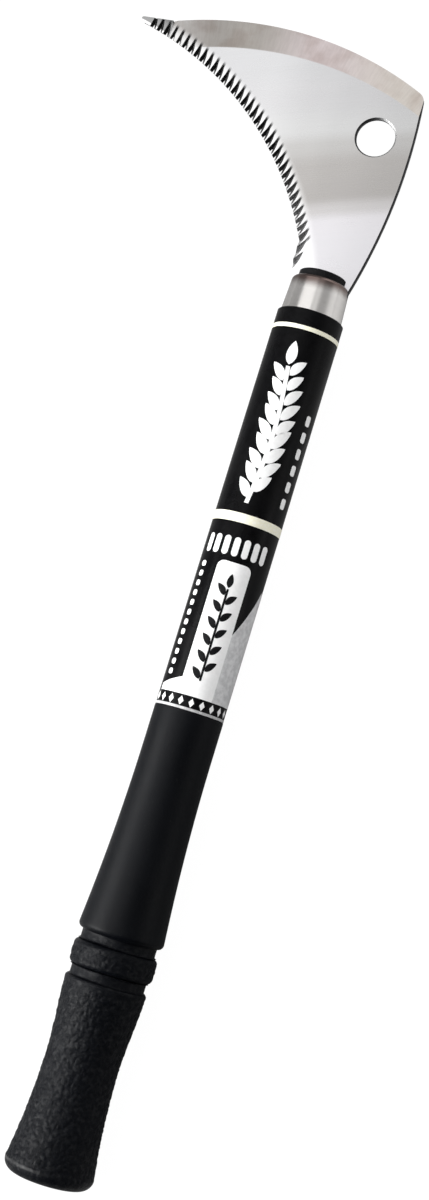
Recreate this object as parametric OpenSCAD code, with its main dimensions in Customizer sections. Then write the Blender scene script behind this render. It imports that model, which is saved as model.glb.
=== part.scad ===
// Serrated sickle: a crescent saw blade pinned into the nose of a steel pipe handle,
// with a printed sleeve and a moulded elastomer grip.
// +Y runs up the handle from the butt to the blade, +X points to the blade's back corner,
// +Z is the normal of the blade's front face. The origin is the centre of the butt face.

/* [Blade plate] */
// Thickness of the steel plate
blade_t = 2.2; // [1.2:0.1:3]
// Distance of the pointed tip to the left of the handle's axis
tip_reach = 95; // [70:1:130]
// Height of the tip above the end of the handle's nose
tip_rise = 83.6; // [65:0.2:110]
// Length of the point that the grinding of the top edge leaves alone
point_len = 12.2; // [9:0.2:16]
// Height of the blunt end of the point
point_h = 2.4; // [1.8:0.2:5]
// Rise of the point's upper side towards the ground top edge
point_rise = 0.6; // [0:0.1:1.5]
// Height of the small step where the grinding of the top edge starts
grind_step = 0.7; // [0.2:0.1:1.2]
// Distance by which the blunt end slants back
point_slant = 1.5; // [0.5:0.1:3]
// Rounding of the point's upper corner
point_round = 0.9; // [0.4:0.1:1.2]
// Radius of the blade's top edge
top_r = 133.6; // [115:0.1:220]
// Distance of the top back corner to the right of the axis
corner_x = 16.3; // [14:0.1:26]
// Height of the top back corner above the nose
corner_rise = 75.2; // [60:0.2:90]
// Rounding of the top back corner
corner_r = 4.5; // [2:0.5:9]
// Radius of the bow of the blade's back
back_r = 207; // [160:0.5:500]
// Half width of the blade where it enters the nose
base_half_w = 10.4; // [8:0.1:10.4]
// Height of the heel's lower corner above the bottom of the slot
heel_foot = 9; // [5:0.5:12]
// Chamfer along the blade's back and round the hanging hole
edge_break = 0.55; // [0.1:0.05:0.6]

/* [Serrated edge] */
// Radius of the hollow cutting edge
edge_r = 130; // [100:1:220]
// Distance of the heel of the edge to the left of the axis
heel_x = 12.3; // [10.6:0.1:15]
// Height of the heel of the edge above the nose
heel_rise = 13.4; // [10:0.2:22]
// Thickness left at the cutting edge
edge_t = 0.8; // [0.5:0.05:1.1]
// Width of the grind on the rear face behind the edge
grind_w = 8.5; // [5:0.5:12]
// Distance between two teeth along the edge
tooth_pitch = 3; // [2.2:0.1:5]
// Distance of the first tooth from the point's lower corner
first_tooth_in = 4; // [2:0.5:8]
// Number of teeth on the straight heel
heel_teeth = 2; // [0:1:2]
// Distance between the teeth on the heel
heel_pitch = 4.8; // [4:0.2:5]
// Length of a tooth groove on the front face
groove_len = 5.6; // [3:0.1:7]
// Depth of a tooth groove at the edge
groove_depth = 1.1; // [0.7:0.05:1.3]
// Width of a tooth groove at the edge
groove_w = 2.4; // [1.2:0.1:2.8]
// Lean of the grooves towards the tip, at the tip
lean_tip = 13; // [0:1:30]
// Lean of the grooves towards the tip, at the heel
lean_heel = 38; // [10:1:50]

/* [Top bevel] */
// Angle of the grind along the top edge
bevel_angle = 5; // [3:0.5:7]
// Radius of the line where the bevel starts
bevel_r = 126.5; // [105:0.5:220]
// Width of the bevel near its start
bevel_w_start = 9.8; // [5:0.1:11]
// Distance from the bevel's start to where that width is reached
bevel_run_in = 7.6; // [6:0.1:14]
// Width of the bevel at the back corner
bevel_w_corner = 7; // [2:0.2:8]

/* [Hanging hole] */
// Diameter of the hanging hole
hole_d = 14; // [8:0.5:17]
// Distance of the hole's centre to the right of the axis
hole_x = 3.5; // [-2:0.5:5]
// Height of the hole's centre above the nose
hole_rise = 56.5; // [44:0.5:60]

/* [Handle pipe] */
// Outer diameter of the pipe
pipe_d = 22.2; // [21:0.1:25.4]
// Wall of the pipe
pipe_wall = 1.2; // [0.8:0.1:2]
// Outer diameter of the pipe's nose where its rounding starts
nose_d = 21; // [20.8:0.1:21.2]
// Rounding of the nose
nose_round = 1.6; // [1:0.1:2]
// Diameter of the opening in the nose
lip_d = 15; // [14:0.1:15.6]
// Length of the straight lip round the opening
lip_len = 1.8; // [1:0.1:2.5]
// Distance from the nose's end to where the swaged wall is straight again
swage_len = 4.5; // [3.5:0.1:7]
// Length of bare pipe between the sleeve and the end of the nose
neck_len = 13.3; // [9:0.1:20]
// Depth of the slot sawn across the nose
slot_depth = 3; // [2:0.1:5]

/* [Tang, plug and pin] */
// Width of the tang
tang_w = 12.6; // [8:0.2:12.8]
// Length of the tang inside the handle
tang_len = 58; // [45:1:64]
// Length of the tapered end of the tang
tang_taper = 10; // [4:1:14]
// Thickness of the plug's bead on the nose
bead_t = 2.6; // [1:0.1:3]
// Diameter of the plug's bead
bead_d = 17.4; // [16.6:0.1:17.8]
// Length of the plug beyond the end of the tang
plug_over = 5; // [2:0.5:20]
// Diameter of the cross pin
pin_d = 4; // [3:0.5:5]
// Distance of the cross pin from the end of the tang
pin_in = 21; // [16:0.5:26]

/* [Sleeve and bands] */
// Length of the printed sleeve
sleeve_len = 145.2; // [100:0.2:200]
// Wall of the sleeve
sleeve_wall = 1.05; // [0.85:0.05:1.6]
// Narrowing of the sleeve's diameter at its upper end
sleeve_narrow = 0.3; // [0:0.05:0.4]
// Depth of the channels that hold the bands
channel_depth = 0.5; // [0.3:0.05:0.55]
// Width of the middle band
middle_band_w = 3.4; // [2:0.2:8]
// Distance of the middle band's centre from the sleeve's lower end
middle_band_y = 67.8; // [30:0.2:75]
// Width of the upper band
upper_band_w = 1.6; // [1:0.2:4]
// Distance of the upper band's centre from the sleeve's upper end
upper_band_drop = 6.9; // [4:0.1:12]
// Width of the thin ring between the grip and the sleeve
lower_band_w = 1; // [0.6:0.1:2]

/* [Grip] */
// Length of the grip
grip_len = 165.2; // [158:0.2:220]
// Largest diameter of the butt
butt_d = 31.5; // [30:0.1:36]
// Rounding of the butt's rim
butt_round = 4.4; // [2:0.1:6]
// Height of the dome of the butt
butt_dome = 0.9; // [0.3:0.1:1.5]
// Diameter of the flat in the middle of the butt
butt_flat_d = 12; // [6:0.5:18]
// Diameter of the waist of the hand grip
waist_d = 25.9; // [25:0.1:28]
// Distance of the waist from the butt
waist_y = 42; // [30:0.5:55]
// Diameter of the hand grip below its groove
flare_d = 28.8; // [27:0.1:32]
// Diameter of the collar ring
collar_d = 29.9; // [28.4:0.1:32]
// Rounding of the collar's rims
collar_round = 1; // [0.4:0.1:1]
// Length of the collar ring
collar_len = 9; // [6:0.1:14]
// Distance of the collar's middle from the butt
collar_y = 77; // [70:0.5:86]
// Width of the grooves on both sides of the collar
ring_groove_w = 3.5; // [2:0.1:5]
// Diameter at the bottom of the grooves
ring_groove_d = 26.4; // [25:0.1:27.4]
// Diameter of the upper grip above its groove
shoulder_d = 30.2; // [28:0.1:32]
// Rounding of the upper grip's shoulder
shoulder_round = 2; // [0.6:0.1:2]
// Diameter of the upper end of the grip
grip_top_d = 24.6; // [24.2:0.1:26]
// Length over which the upper grip tapers
taper_len = 65; // [40:1:66]
// Thickness of rubber between the butt and the pipe
butt_wall = 6.4; // [3:0.1:12]
// Thickness of the end plug's cap
cap_t = 1.5; // [1:0.1:3]
// Length of the end plug inside the pipe
cap_spigot = 12; // [6:1:25]

/* [Hidden] */
fit = 0.05;
cut = 0.2;
rim = 0.4;
crown = 0.15;
flare_break = 0.7;
crest_over = 1.3;
corner_in = 1.5;
grind_end_lean = 60;
turn_fn = 96;
arc_fn = 360;

// Places along the handle
sleeve_y0 = grip_len + lower_band_w;
sleeve_y1 = sleeve_y0 + sleeve_len;
nose_y = sleeve_y1 + neck_len;
base_y = nose_y - slot_depth + fit;
pipe_y0 = butt_wall + cap_t;
tang_y = base_y - tang_len;
plug_y = tang_y - plug_over;
pin_y = tang_y + pin_in;
middle_band_c = sleeve_y0 + middle_band_y;
upper_band_c = sleeve_y1 - upper_band_drop;

// Radii of the handle
pipe_r = pipe_d / 2;
bore_r = pipe_r - pipe_wall;
lip_r = lip_d / 2;
nose_r = nose_d / 2;
nose_inner_r = nose_r - pipe_wall;
sleeve_r = pipe_r + fit + sleeve_wall;

// Corner points of the blade's plan
tip = [-tip_reach, nose_y + tip_rise];
point_end = tip + [point_len, point_rise];
shoulder = point_end + [2 * grind_step, grind_step];
corner = [corner_x, nose_y + corner_rise];
edge_tip = tip + [point_slant, -point_h];
heel = [-heel_x, nose_y + heel_rise];

// Centre of the circle of radius r that runs from p to q and bulges to the left of that way
function centre(p, q, r) =
    let (d = q - p, m = (p + q) / 2, h = sqrt(r * r - (d * d) / 4))
    m + h * [d.y, -d.x] / norm(d);

// Crossing of two circles, the one to the left of the way from the first centre to the second
function crossing(c1, r1, c2, r2) =
    let (d = norm(c2 - c1), a = (r1 * r1 - r2 * r2 + d * d) / (2 * d), u = (c2 - c1) / d)
    c1 + a * u + sqrt(r1 * r1 - a * a) * [-u.y, u.x];

function arc(c, r, a0, a1, n) =
    [for (i = [0:n]) let (a = a0 + (a1 - a0) * i / n) c + r * [cos(a), sin(a)]];

function direction(a) = [cos(a), sin(a)];

function angle_of(v) = atan2(v.y, v.x);

top_c = centre(shoulder, corner, top_r);
edge_c = centre(edge_tip, heel, edge_r);
back_c = centre(corner, [base_half_w, base_y], back_r);
bevel_c = centre(shoulder + [bevel_run_in, -bevel_w_start], corner - [corner_in, bevel_w_corner],
    bevel_r);
corner_c = crossing(back_c, back_r - corner_r, top_c, top_r - corner_r);

// Tooth positions as angles on the edge's circle
tooth_step = tooth_pitch / edge_r * 180 / PI;
first_tooth = angle_of(edge_tip + [first_tooth_in, 0] - edge_c);
last_tooth = angle_of(heel - edge_c);

// Solids of revolution about the handle's axis
module turned(points) {
    rotate([-90, 0, 0]) rotate_extrude($fn = turn_fn) polygon(points);
}

module ring(r_in, r_out, y0, y1) {
    turned([[r_in, y0], [r_out, y0], [r_out, y1], [r_in, y1]]);
}

// Outline of the plate: the tang, the back, the top, the blunt point, the edge and the heel
module blade_plan() {
    back_a = angle_of(corner_c - back_c);
    top_a = angle_of(corner_c - top_c);
    polygon(concat(
        tang_outline(tang_w / 2, tang_len),
        arc(back_c, back_r, angle_of([base_half_w, base_y] - back_c), back_a, 16),
        arc(corner_c, corner_r, back_a, top_a, 10),
        arc(top_c, top_r, top_a, angle_of(shoulder - top_c), 44),
        [point_end],
        arc(tip + [point_round, -point_round], point_round, 90, 200, 5),
        arc(edge_c, edge_r, angle_of(edge_tip - edge_c), last_tooth, 48),
        [[-heel_x, base_y + heel_foot], [-base_half_w, base_y]]));
}

// Outline of the tang, which narrows to half its width at its end
function tang_outline(half_w, len) = let (taper_y = base_y - len + tang_taper, end_w = half_w / 2)
    [[-half_w, base_y], [-half_w, taper_y], [-end_w, base_y - len], [end_w, base_y - len],
    [half_w, taper_y], [half_w, base_y]];

// Bevel ground on the front along the top, from the end of the point on
module top_bevel() {
    run = blade_t / tan(bevel_angle);
    intersection() {
        translate(bevel_c) rotate_extrude($fn = arc_fn) polygon([[bevel_r, blade_t / 2],
            [bevel_r + run, -blade_t / 2], [bevel_r + run, blade_t], [bevel_r - cut * run / blade_t,
            blade_t / 2 + cut], [bevel_r, blade_t / 2 + cut]]);
        translate([point_end.x, bevel_c.y, -blade_t]) cube([2 * tip_reach, 2 * bevel_r, 2 * blade_t]);
    }
}

// Chamfers along the blade's back, front and rear
module back_chamfers() {
    for (side = [-1, 1])
        translate(back_c) scale([1, 1, side]) rotate_extrude($fn = arc_fn)
            polygon([[back_r - edge_break - cut, blade_t / 2 + cut],
                [back_r + cut, blade_t / 2 - edge_break - cut], [back_r + cut, blade_t / 2 + cut]]);
}

// Grind on the rear face that thins the plate towards the cutting edge and runs out at the heel
module rear_grind() {
    run = grind_w / (blade_t - edge_t);
    intersection() {
        translate(concat(edge_c, -blade_t / 2 - cut)) cylinder(h = blade_t + cut,
            r1 = edge_r + grind_w + cut * run, r2 = edge_r + grind_w - blade_t * run, $fn = arc_fn);
        translate([-2 * tip_reach, heel.y, -blade_t / 2]) rotate([-grind_end_lean, 0, 0])
            translate([0, 0, -3 * blade_t]) cube([2 * tip_reach, 2 * tip_rise, 3 * tip_rise]);
    }
}

// V groove that a wheel has ground: deepest at point p on the edge, it runs in direction a and
// comes out on the front face after the length len
module groove(p, a, len) {
    wheel_r = (len * len + groove_depth * groove_depth) / (2 * groove_depth);
    half = groove_w * crest_over / 2;
    translate(concat(p, blade_t / 2 - groove_depth + wheel_r)) rotate([90, 0, a])
        rotate_extrude($fn = arc_fn) polygon([[wheel_r, 0],
            [wheel_r - groove_depth * crest_over, half], [wheel_r - groove_depth * crest_over, -half]]);
}

module teeth() {
    for (a = [last_tooth : tooth_step : first_tooth]) {
        lean = lean_tip + (lean_heel - lean_tip) * (first_tooth - a) / (first_tooth - last_tooth);
        groove(edge_c + edge_r * direction(a), a + lean, groove_len);
    }
    for (i = [1 : 1 : heel_teeth])
        groove([-heel_x, heel.y - i * heel_pitch], last_tooth + lean_heel, groove_len + 1);
}

module hanging_hole() {
    sink = edge_break + cut;
    translate([hole_x, nose_y + hole_rise, -blade_t / 2]) {
        translate([0, 0, -cut]) cylinder(h = blade_t + 2 * cut, d = hole_d, $fn = turn_fn);
        translate([0, 0, blade_t - edge_break])
            cylinder(h = sink, d1 = hole_d, d2 = hole_d + 2 * sink, $fn = turn_fn);
        translate([0, 0, -cut])
            cylinder(h = sink, d1 = hole_d + 2 * sink, d2 = hole_d, $fn = turn_fn);
    }
}

module pin_hole(d) {
    translate([0, pin_y, 0]) cylinder(h = 2 * pipe_d, d = d, center = true, $fn = 48);
}

module blade() {
    color([0.84, 0.85, 0.86]) difference() {
        linear_extrude(blade_t, center = true) blade_plan();
        top_bevel();
        back_chamfers();
        rear_grind();
        hanging_hole();
        teeth();
        pin_hole(pin_d + 2 * fit);
    }
}

// Black plug that fills the nose round the tang and stands on the lip as a bead
module tang_plug() {
    neck_r = lip_r - fit;
    body_r = bore_r - fit;
    color([0.06, 0.06, 0.06]) difference() {
        turned([[0, plug_y], [body_r - 2 * rim, plug_y], [body_r, plug_y + 2 * rim],
            [body_r, nose_y - neck_len], [nose_inner_r - fit, nose_y - swage_len],
            [neck_r, nose_y - lip_len], [neck_r, nose_y], [bead_d / 2, nose_y], [bead_d / 2, nose_y + bead_t - rim],
            [bead_d / 2 - rim, nose_y + bead_t], [0, nose_y + bead_t]]);
        translate([0, 0, -blade_t / 2 - fit]) linear_extrude(blade_t + 2 * fit) {
            polygon(tang_outline(tang_w / 2 + fit, tang_len + fit));
            translate([-pipe_d, base_y - fit]) square([2 * pipe_d, 3 * slot_depth]);
        }
        pin_hole(pin_d + 2 * fit);
    }
}

module tang_pin() {
    color([0.7, 0.7, 0.7]) translate([0, pin_y, 0])
        cylinder(h = pipe_d - 2 * rim, d = pin_d, center = true, $fn = 48);
}

// Steel pipe with its upper end swaged to a rounded nose and slotted for the blade
module handle_pipe() {
    color([0.78, 0.79, 0.8]) difference() {
        turned(concat(
            [[bore_r, pipe_y0], [pipe_r, pipe_y0], [pipe_r, nose_y - neck_len]],
            arc([nose_r - nose_round, nose_y - nose_round], nose_round, 0, 90, 8),
            [[lip_r, nose_y], [lip_r, nose_y - lip_len], [nose_inner_r, nose_y - swage_len],
            [bore_r, nose_y - neck_len]]));
        translate([-pipe_d, nose_y - slot_depth, -blade_t / 2 - fit])
            cube([2 * pipe_d, 2 * slot_depth, blade_t + 2 * fit]);
        pin_hole(pin_d + 2 * fit);
    }
}

// Cap that closes the raw end of the pipe, so that it can't cut through the grip
module pipe_end_plug() {
    spigot_r = bore_r - fit;
    spigot_y = pipe_y0 + cap_spigot;
    color([0.85, 0.85, 0.82]) turned([[0, butt_wall], [pipe_r, butt_wall], [pipe_r, pipe_y0],
        [spigot_r, pipe_y0], [spigot_r, spigot_y - 2 * rim], [spigot_r - rim, spigot_y],
        [spigot_r - cap_t, spigot_y], [spigot_r - cap_t, pipe_y0 + cap_t], [0, pipe_y0 + cap_t]]);
}

// Outer radius of the sleeve at height y: it narrows slightly towards the blade
function sleeve_radius(y) = sleeve_r - sleeve_narrow / 2 * pow(max(0, (y - sleeve_y0) / sleeve_len), 2);

// Channel round the sleeve for a band of width w at height y
function channel(y, w) = let (r = sleeve_radius(y) - channel_depth)
    [[sleeve_radius(y - w / 2), y - w / 2], [r, y - w / 2], [r, y + w / 2],
    [sleeve_radius(y + w / 2), y + w / 2]];

module label_sleeve() {
    color([0.05, 0.05, 0.05]) turned(concat(
        [[pipe_r + fit, sleeve_y0], [sleeve_r, sleeve_y0]],
        channel(middle_band_c, middle_band_w),
        [for (i = [1:5]) let (y = middle_band_c + (upper_band_c - middle_band_c) * i / 6)
            [sleeve_radius(y), y]],
        channel(upper_band_c, upper_band_w),
        [[sleeve_radius(sleeve_y1), sleeve_y1 - rim], [sleeve_radius(sleeve_y1) - rim, sleeve_y1],
        [pipe_r + fit, sleeve_y1]]));
}

module band(y, w) {
    color([0.97, 0.95, 0.85]) ring(sleeve_radius(y) - channel_depth + fit, sleeve_radius(y) + fit,
        y - w / 2 + fit, y + w / 2 - fit);
}

module band_upper() {
    band(upper_band_c, upper_band_w);
}

module band_middle() {
    band(middle_band_c, middle_band_w);
}

module band_lower() {
    color([0.93, 0.93, 0.93])
        ring(pipe_r + fit, sleeve_r + fit, grip_len + fit, sleeve_y0 - fit);
}

// Profile of the grip from the butt upwards
flare_y = collar_y - collar_len / 2 - ring_groove_w;
shoulder_y = collar_y + collar_len / 2 + ring_groove_w;
butt_max_y = butt_dome + butt_round;

// The butt: a flat, a low dome and a round rim
function butt_curve() = concat([[0, 0], [butt_flat_d / 2, 0]],
    arc([butt_d / 2 - butt_round, butt_max_y], butt_round, -78, 0, 9));

// The hand grip swells parabolically from its waist to the butt and smoothly to its groove
function hand_curve() = concat(
    [for (i = [1:7]) let (s = 1 - i / 8)
        [(waist_d + (butt_d - waist_d) * s * s) / 2, waist_y - (waist_y - butt_max_y) * s]],
    [for (i = [0:8]) let (s = i / 9)
        [(waist_d + (flare_d - waist_d) * s * s * (3 - 2 * s)) / 2,
            waist_y + (flare_y - flare_break - waist_y) * s]],
    [[flare_d / 2, flare_y - flare_break], [flare_d / 2 - flare_break, flare_y]]);

// The collar ring: a low barrel with rounded rims
function collar_curve() = let (c = collar_d / 2 - crown - collar_round, h = collar_len / 2) concat(
    [[ring_groove_d / 2, collar_y - h]],
    arc([c, collar_y - h + collar_round], collar_round, -90, 0, 4),
    [[collar_d / 2, collar_y]],
    arc([c, collar_y + h - collar_round], collar_round, 0, 90, 4),
    [[ring_groove_d / 2, collar_y + h]]);

// The upper grip: a round shoulder, then a parabolic taper to the sleeve
function upper_curve() = concat(
    arc([shoulder_d / 2 - shoulder_round, shoulder_y + shoulder_round * sin(60)], shoulder_round,
        -60, 0, 6),
    [for (i = [1:12]) let (s = i / 12)
        [(grip_top_d + (shoulder_d - grip_top_d) * (1 - s) * (1 - s)) / 2,
            shoulder_y + shoulder_round + taper_len * s]]);

module grip() {
    color([0.13, 0.13, 0.13]) turned(concat(
        butt_curve(), hand_curve(),
        [[ring_groove_d / 2, flare_y]], collar_curve(),
        [[ring_groove_d / 2, shoulder_y]], upper_curve(),
        [[grip_top_d / 2, grip_len], [pipe_r + fit, grip_len],
        [pipe_r + fit, butt_wall - fit], [0, butt_wall - fit]]));
}

blade();
tang_plug();
tang_pin();
handle_pipe();
pipe_end_plug();
label_sleeve();
band_upper();
band_middle();
band_lower();
grip();
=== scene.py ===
import math
import random

import bmesh
import bpy
from mathutils import Matrix, Vector, noise


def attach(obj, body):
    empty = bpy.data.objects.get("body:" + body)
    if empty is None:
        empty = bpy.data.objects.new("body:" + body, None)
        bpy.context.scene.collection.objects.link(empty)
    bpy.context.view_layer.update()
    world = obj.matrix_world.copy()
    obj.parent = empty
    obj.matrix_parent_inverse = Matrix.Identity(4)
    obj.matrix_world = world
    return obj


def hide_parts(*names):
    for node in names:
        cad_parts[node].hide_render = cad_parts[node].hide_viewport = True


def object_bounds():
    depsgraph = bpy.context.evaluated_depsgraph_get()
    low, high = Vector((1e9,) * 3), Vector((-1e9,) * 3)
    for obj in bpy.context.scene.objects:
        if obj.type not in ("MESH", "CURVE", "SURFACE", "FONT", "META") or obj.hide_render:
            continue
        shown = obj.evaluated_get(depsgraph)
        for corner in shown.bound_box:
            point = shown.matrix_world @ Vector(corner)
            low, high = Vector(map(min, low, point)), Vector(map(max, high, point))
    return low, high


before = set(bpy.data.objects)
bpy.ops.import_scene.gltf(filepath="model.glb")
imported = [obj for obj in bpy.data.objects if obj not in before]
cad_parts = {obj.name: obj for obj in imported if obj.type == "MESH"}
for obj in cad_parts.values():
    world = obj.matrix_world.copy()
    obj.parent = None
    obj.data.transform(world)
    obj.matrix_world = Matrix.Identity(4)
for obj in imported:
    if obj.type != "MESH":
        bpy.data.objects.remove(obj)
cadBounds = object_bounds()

# Serrated sickle. The frame is in metres, with +Y up the handle and +Z out of the blade's front face.
# Lengths in the dictionaries are in millimetres and angles in degrees, unless a note says otherwise.
mm = 0.001
print("frame loaded:", len(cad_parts), "solids")


# Node helpers

def feed(tree, socket, value):
    # links a socket to another one, or sets its value
    if isinstance(value, bpy.types.NodeSocket):
        tree.links.new(value, socket)
    else:
        socket.default_value = value


def put(tree, kind, feeds=None, **settings):
    node = tree.nodes.new("ShaderNode" + kind)
    for name, value in settings.items():
        setattr(node, name, value)
    for name, value in (feeds or {}).items():
        feed(tree, node.inputs[name], value)
    return node


def calc(tree, operation, *values):
    return put(tree, "Math", dict(enumerate(values)), operation=operation).outputs[0]


def times(tree, first, *others):
    for other in others:
        first = calc(tree, "MULTIPLY", first, other)
    return first


def rise(tree, value, start, end, low=0.0, high=1.0):
    # a smooth step from low to high while value goes from start to end
    feeds = {"Value": value, "From Min": start, "From Max": end, "To Min": low, "To Max": high}
    return put(tree, "MapRange", feeds, interpolation_type="SMOOTHSTEP").outputs[0]


def split(tree, vector):
    return tuple(put(tree, "SeparateXYZ", {0: vector}).outputs)


def join(tree, x, y, z=0.0):
    return put(tree, "CombineXYZ", {"X": x, "Y": y, "Z": z}).outputs[0]


def cloud(tree, place, scale, detail=2.0, distortion=0.0):
    feeds = {"Vector": place, "Scale": scale, "Detail": detail, "Distortion": distortion}
    return put(tree, "TexNoise", feeds).outputs["Fac"]


def shade(value):
    # a grey or a colour as the four numbers that a socket takes
    return (value, value, value, 1.0) if isinstance(value, (int, float)) else (*value, 1.0)


def ramp(tree, factor, stops, easing="LINEAR"):
    node = put(tree, "ValToRGB", {"Fac": factor})
    node.color_ramp.interpolation = easing
    elements = node.color_ramp.elements
    while len(elements) < len(stops):
        elements.new(0.5)
    for element, (place, value) in zip(elements, stops):
        element.position = place
        element.color = shade(value)
    return node.outputs[0]


def blend(tree, factor, first, second, way="MIX"):
    node = put(tree, "Mix", data_type="RGBA", blend_type=way)
    for socket, value in zip((node.inputs[0], node.inputs[6], node.inputs[7]), (factor, first, second)):
        plain = socket.type == "RGBA" and not isinstance(value, bpy.types.NodeSocket)
        feed(tree, socket, shade(value) if plain else value)
    return node.outputs[2]


def darken(tree, colour, mask, low):
    # the colour times a grey that goes from low to white as the mask goes from 0 to 1
    return blend(tree, 1.0, colour, ramp(tree, mask, [(0, low), (1, 1.0)]), "MULTIPLY")


def newGroup(name, inputs, outputs):
    tree = bpy.data.node_groups.new(name, "ShaderNodeTree")
    for label, kind, value in inputs:
        socket = tree.interface.new_socket(label, in_out="INPUT", socket_type="NodeSocket" + kind)
        if value is not None:
            socket.default_value = value
    for label, kind in outputs:
        tree.interface.new_socket(label, in_out="OUTPUT", socket_type="NodeSocket" + kind)
    return tree, tree.nodes.new("NodeGroupInput").outputs, tree.nodes.new("NodeGroupOutput").inputs


def useGroup(tree, group, feeds):
    return put(tree, "Group", feeds, node_tree=group).outputs


def newMaterial(name, **settings):
    # a material with a Principled shader, whose constant values are set on its own sockets
    material = bpy.data.materials.new(name)
    material.use_nodes = True
    tree = material.node_tree
    shader = tree.nodes["Principled BSDF"]
    for label, value in settings.items():
        shader.inputs[label.replace("_", " ")].default_value = value
    return material, tree, shader


def dress(tree, shader, colour, roughness, normal):
    for label, socket in (("Base Color", colour), ("Roughness", roughness), ("Normal", normal)):
        tree.links.new(socket, shader.inputs[label])


def bodyPlace(tree):
    # the place on the object, in millimetres
    place = put(tree, "TexCoord").outputs["Object"]
    return put(tree, "VectorMath", {0: place, "Scale": 1 / mm}, operation="SCALE").outputs[0]


def bumpNormal(tree, height, strength, depth):
    feeds = {"Height": height, "Strength": strength, "Distance": depth * mm}
    return put(tree, "Bump", feeds).outputs["Normal"]


# Shader groups that several materials share

def makeHairlines():
    # fine parallel lines of ground or drawn metal, long in X and narrow in Y and Z
    tree, given, result = newGroup("hairlines",
        [("Vector", "Vector", None), ("Length", "Float", 20.0), ("Width", "Float", 0.15)],
        [("Tone", "Float")])
    along = calc(tree, "DIVIDE", 1.0, given["Length"])
    across = calc(tree, "DIVIDE", 1.0, given["Width"])
    feeds = {0: given["Vector"], 1: join(tree, along, across, across)}
    place = put(tree, "VectorMath", feeds, operation="MULTIPLY").outputs[0]
    coarse = times(tree, cloud(tree, place, 0.45), 0.6)
    fine = times(tree, cloud(tree, place, 1.7, 1.0), 0.4)
    tone = rise(tree, calc(tree, "ADD", coarse, fine), 0.3, 0.7)
    tree.links.new(tone, result["Tone"])
    return tree


def makeEdgeWear():
    # where an edge is rubbed, broken up by noise; the radius is in metres
    tree, given, result = newGroup("edgeWear",
        [("Vector", "Vector", None), ("Radius", "Float", 0.0004), ("Patch", "Float", 4.0)],
        [("Mask", "Float")])
    rounded = put(tree, "Bevel", {"Radius": given["Radius"]}, samples=4).outputs[0]
    flat = put(tree, "NewGeometry").outputs["Normal"]
    same = put(tree, "VectorMath", {0: rounded, 1: flat}, operation="DOT_PRODUCT").outputs["Value"]
    edge = rise(tree, same, 0.995, 0.93)
    patches = cloud(tree, given["Vector"], calc(tree, "DIVIDE", 1.0, given["Patch"]), 3.0)
    mask = times(tree, edge, rise(tree, patches, 0.32, 0.62))
    tree.links.new(mask, result["Mask"])
    return tree


def makeHandling():
    # smudges and dust that handling leaves: slow changes of gloss and a few light specks
    tree, given, result = newGroup("handling",
        [("Vector", "Vector", None), ("Size", "Float", 18.0)],
        [("Smudge", "Float"), ("Specks", "Float")])
    place = given["Vector"]
    slow = cloud(tree, place, calc(tree, "DIVIDE", 1.0, given["Size"]), 4.0, 0.6)
    cells = put(tree, "TexVoronoi", {"Vector": place, "Scale": 0.55})
    speck = rise(tree, cells.outputs["Distance"], 0.1, 0.05)
    chosen = put(tree, "SeparateColor", {"Color": cells.outputs["Color"]}).outputs[0]
    rare = times(tree, speck, calc(tree, "GREATER_THAN", chosen, 0.8))
    tree.links.new(rise(tree, slow, 0.35, 0.65), result["Smudge"])
    tree.links.new(rare, result["Specks"])
    return tree


def makeMouldGrain():
    # the pebbled grain that a textured mould leaves on rubber or plastic
    tree, given, result = newGroup("mouldGrain",
        [("Vector", "Vector", None), ("Cell", "Float", 0.8)],
        [("Height", "Float"), ("Tone", "Float")])
    place = given["Vector"]
    scale = calc(tree, "DIVIDE", 1.0, given["Cell"])
    warp = put(tree, "TexNoise", {"Vector": place, "Scale": scale}).outputs["Color"]
    warp = put(tree, "VectorMath", {0: warp, "Scale": 0.5}, operation="SCALE").outputs[0]
    bent = put(tree, "VectorMath", {0: place, 1: warp}, operation="ADD").outputs[0]
    cells = put(tree, "TexVoronoi", {"Vector": bent, "Scale": scale}, feature="DISTANCE_TO_EDGE")
    pebble = rise(tree, cells.outputs["Distance"], 0.0, 0.3)
    dust = cloud(tree, place, times(tree, scale, 5.0))
    height = calc(tree, "ADD", pebble, times(tree, dust, 0.35))
    tree.links.new(height, result["Height"])
    tree.links.new(rise(tree, height, 0.2, 1.2), result["Tone"])
    return tree


def makePrintGrain():
    # the slight unevenness of screen-printed ink
    tree, given, result = newGroup("printGrain",
        [("Vector", "Vector", None), ("Size", "Float", 1.2)],
        [("Tone", "Float"), ("Pinholes", "Float")])
    scale = calc(tree, "DIVIDE", 1.0, given["Size"])
    slow = cloud(tree, given["Vector"], scale, 5.0)
    dots = cloud(tree, given["Vector"], 6.0, 1.0)
    tree.links.new(rise(tree, slow, 0.3, 0.7), result["Tone"])
    tree.links.new(rise(tree, dots, 0.74, 0.8), result["Pinholes"])
    return tree


hairlines = makeHairlines()
edgeWear = makeEdgeWear()
handling = makeHandling()
mouldGrain = makeMouldGrain()
printGrain = makePrintGrain()
print("shader groups made:", len(bpy.data.node_groups))


def drawnLines(tree, place, length, width):
    return useGroup(tree, hairlines, {"Vector": place, "Length": length, "Width": width})["Tone"]


def rubEdges(tree, place, colour, wear, bare):
    # wear gives the width of the rubbed corner, the size of its patches and its share of the bare colour
    width, patch, share = wear
    mask = useGroup(tree, edgeWear, {"Vector": place, "Radius": width * mm, "Patch": patch})["Mask"]
    return blend(tree, times(tree, mask, share), colour, bare)


# Blade steel. The places of the bevel, the edge and the teeth are the solid's own.

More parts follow.
